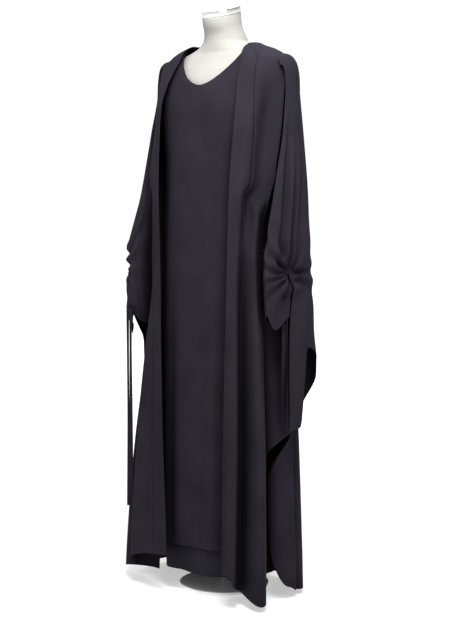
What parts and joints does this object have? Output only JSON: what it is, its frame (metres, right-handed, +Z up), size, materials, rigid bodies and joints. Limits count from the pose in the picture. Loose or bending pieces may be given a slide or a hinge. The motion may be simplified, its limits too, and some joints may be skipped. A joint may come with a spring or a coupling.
{
  "type": "abaya on a dress form",
  "caption": "Open abaya with wide drawn-up butterfly sleeves over a straight scoop-neck dress and underskirt, worn by a limbless dress form on a round base.",
  "frame": {"origin": "centre of the underside of the round base, on the floor", "axes": "+Z up, the wearer faces -Y, the wearer's left is +X"},
  "size_m": [0.5334, 0.357, 1.5405],
  "materials": {
    "crepe": "matt charcoal crepe with a fine grain",
    "lining_crepe": "matt charcoal crepe, a little thinner",
    "tie": "flat stitched tie of the same crepe",
    "form_cover": "tight off-white knit cover",
    "cap_metal": "polished metal band with a pale top",
    "pole_metal": "satin steel tube",
    "base_paint": "white satin powder coat"
  },
  "bodies": {
    "root": {"dress_front": "crepe", "dress_back": "crepe", "underskirt": "lining_crepe", "abaya_back": "crepe", "abaya_front_left": "crepe", "abaya_front_right": "crepe", "abaya_band_left": "crepe", "abaya_band_right": "crepe", "abaya_side_left": "crepe", "abaya_side_right": "crepe", "sleeve_left": "crepe", "sleeve_right": "crepe", "tie_left_front": "tie", "tie_left_back": "tie", "tie_right_front": "tie", "tie_right_back": "tie", "form_torso": "form_cover", "neck_cap": "cap_metal", "stand_pole": "pole_metal", "stand_base": "base_paint"}
  },
  "joints": []
}
